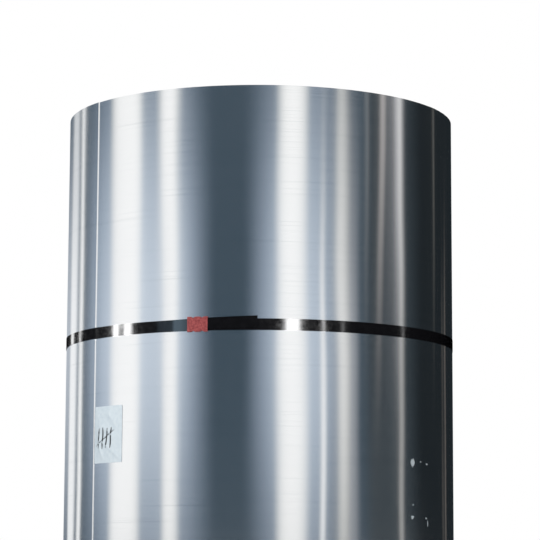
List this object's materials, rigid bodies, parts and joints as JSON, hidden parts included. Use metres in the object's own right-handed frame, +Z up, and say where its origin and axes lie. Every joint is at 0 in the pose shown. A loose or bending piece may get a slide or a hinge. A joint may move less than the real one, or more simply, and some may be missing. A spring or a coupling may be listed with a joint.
{
  "type": "aluminium strip coil",
  "caption": "Wound coil of bright aluminium strip standing on its end, with a through bore, a steel strap closed by a folded seal, and a paper label.",
  "frame": {"origin": "centre of the bore on the floor the coil stands on", "axes": "+Z up along the bore axis, -Y towards the viewer of the picture, +X to the viewer's right"},
  "size_m": [1.1523, 1.1522, 1.5],
  "materials": {
    "coil": "bright rolled mill finish",
    "strap": "black painted and waxed steel",
    "strap_seal": "red painted steel, scuffed",
    "label": "white coated paper"
  },
  "bodies": {
    "root": {"coil": "coil", "strap": "strap", "strap_seal": "strap_seal", "label": "label"}
  },
  "joints": []
}
